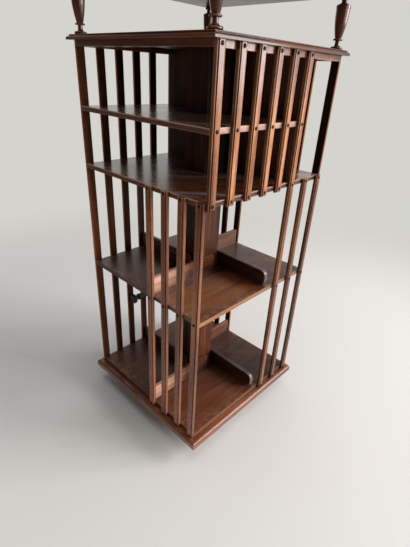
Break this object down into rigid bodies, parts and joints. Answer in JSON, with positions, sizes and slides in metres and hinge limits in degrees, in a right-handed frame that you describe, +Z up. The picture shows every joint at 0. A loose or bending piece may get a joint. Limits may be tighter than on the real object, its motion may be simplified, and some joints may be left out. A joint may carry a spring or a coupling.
{
  "type": "revolving bookcase",
  "caption": "Square revolving bookcase with slatted sides, book bays set in a pinwheel round a hollow post, a moulded top on turned columns and a swivel cross base.",
  "frame": {"origin": "on the floor, on the turning axis, at the middle of the square plan", "axes": "+Z up along the turning axis, -Y towards the front (the picture's left-hand face), +X towards the right side (the picture's right-hand face)"},
  "size_m": [0.498, 0.498, 1.2135],
  "materials": {
    "slat_wood": "satin polish, red-brown, beaded edges",
    "board_wood": "satin polish, dark red-brown",
    "inner_wood": "worn polish, dark brown",
    "base_wood": "plain dull brown",
    "screw_metal": "darkened by age",
    "steel": "ground",
    "brass": "turned",
    "iron": "black, as cast",
    "knob_black": "dark grey, dull"
  },
  "bodies": {
    "base": {"base_rail_a": "base_wood", "base_rail_b": "base_wood", "foot_1": "base_wood", "foot_2": "base_wood", "foot_3": "base_wood", "foot_4": "base_wood", "spindle_socket": "iron", "socket_screws": "screw_metal", "spindle": "steel", "thrust_washer": "brass"},
    "case": {"bush_block": "base_wood", "post_front": "inner_wood", "post_back": "inner_wood", "post_left": "inner_wood", "post_right": "inner_wood", "bottom_fence_1": "inner_wood", "bottom_fence_2": "inner_wood", "bottom_fence_3": "inner_wood", "bottom_fence_4": "inner_wood", "lower_fence_1": "inner_wood", "lower_fence_2": "inner_wood", "lower_fence_3": "inner_wood", "lower_fence_4": "inner_wood", "base_board": "board_wood", "bottom_shelf": "board_wood", "lower_shelf": "board_wood", "middle_shelf": "board_wood", "upper_shelf": "board_wood", "divider_panel": "board_wood", "frieze_front": "board_wood", "frieze_back": "board_wood", "frieze_left": "board_wood", "frieze_right": "board_wood", "top_board": "board_wood", "upper_board": "board_wood", "column_1": "slat_wood", "column_2": "slat_wood", "column_3": "slat_wood", "column_4": "slat_wood", "right_slat_1": "slat_wood", "right_slat_2": "slat_wood", "right_slat_3": "slat_wood", "right_slat_4": "slat_wood", "right_slat_5": "slat_wood", "right_slat_6": "slat_wood", "right_slat_7": "slat_wood", "right_slat_8": "slat_wood", "front_slat_1": "slat_wood", "front_slat_2": "slat_wood", "front_slat_3": "slat_wood", "front_slat_4": "slat_wood", "left_slats": "slat_wood", "back_slats": "slat_wood", "right_screws": "screw_metal", "front_screws": "screw_metal", "left_screws": "screw_metal", "back_screws": "screw_metal", "upper_bush": "brass", "lower_bush": "iron", "side_knob": "knob_black"}
  },
  "joints": [
    {"name": "case_turn", "type": "hinge", "parent": "base", "child": "case", "pos_m": [0, 0, 0.056], "axis": [0, 0, 1], "continuous": true}
  ]
}
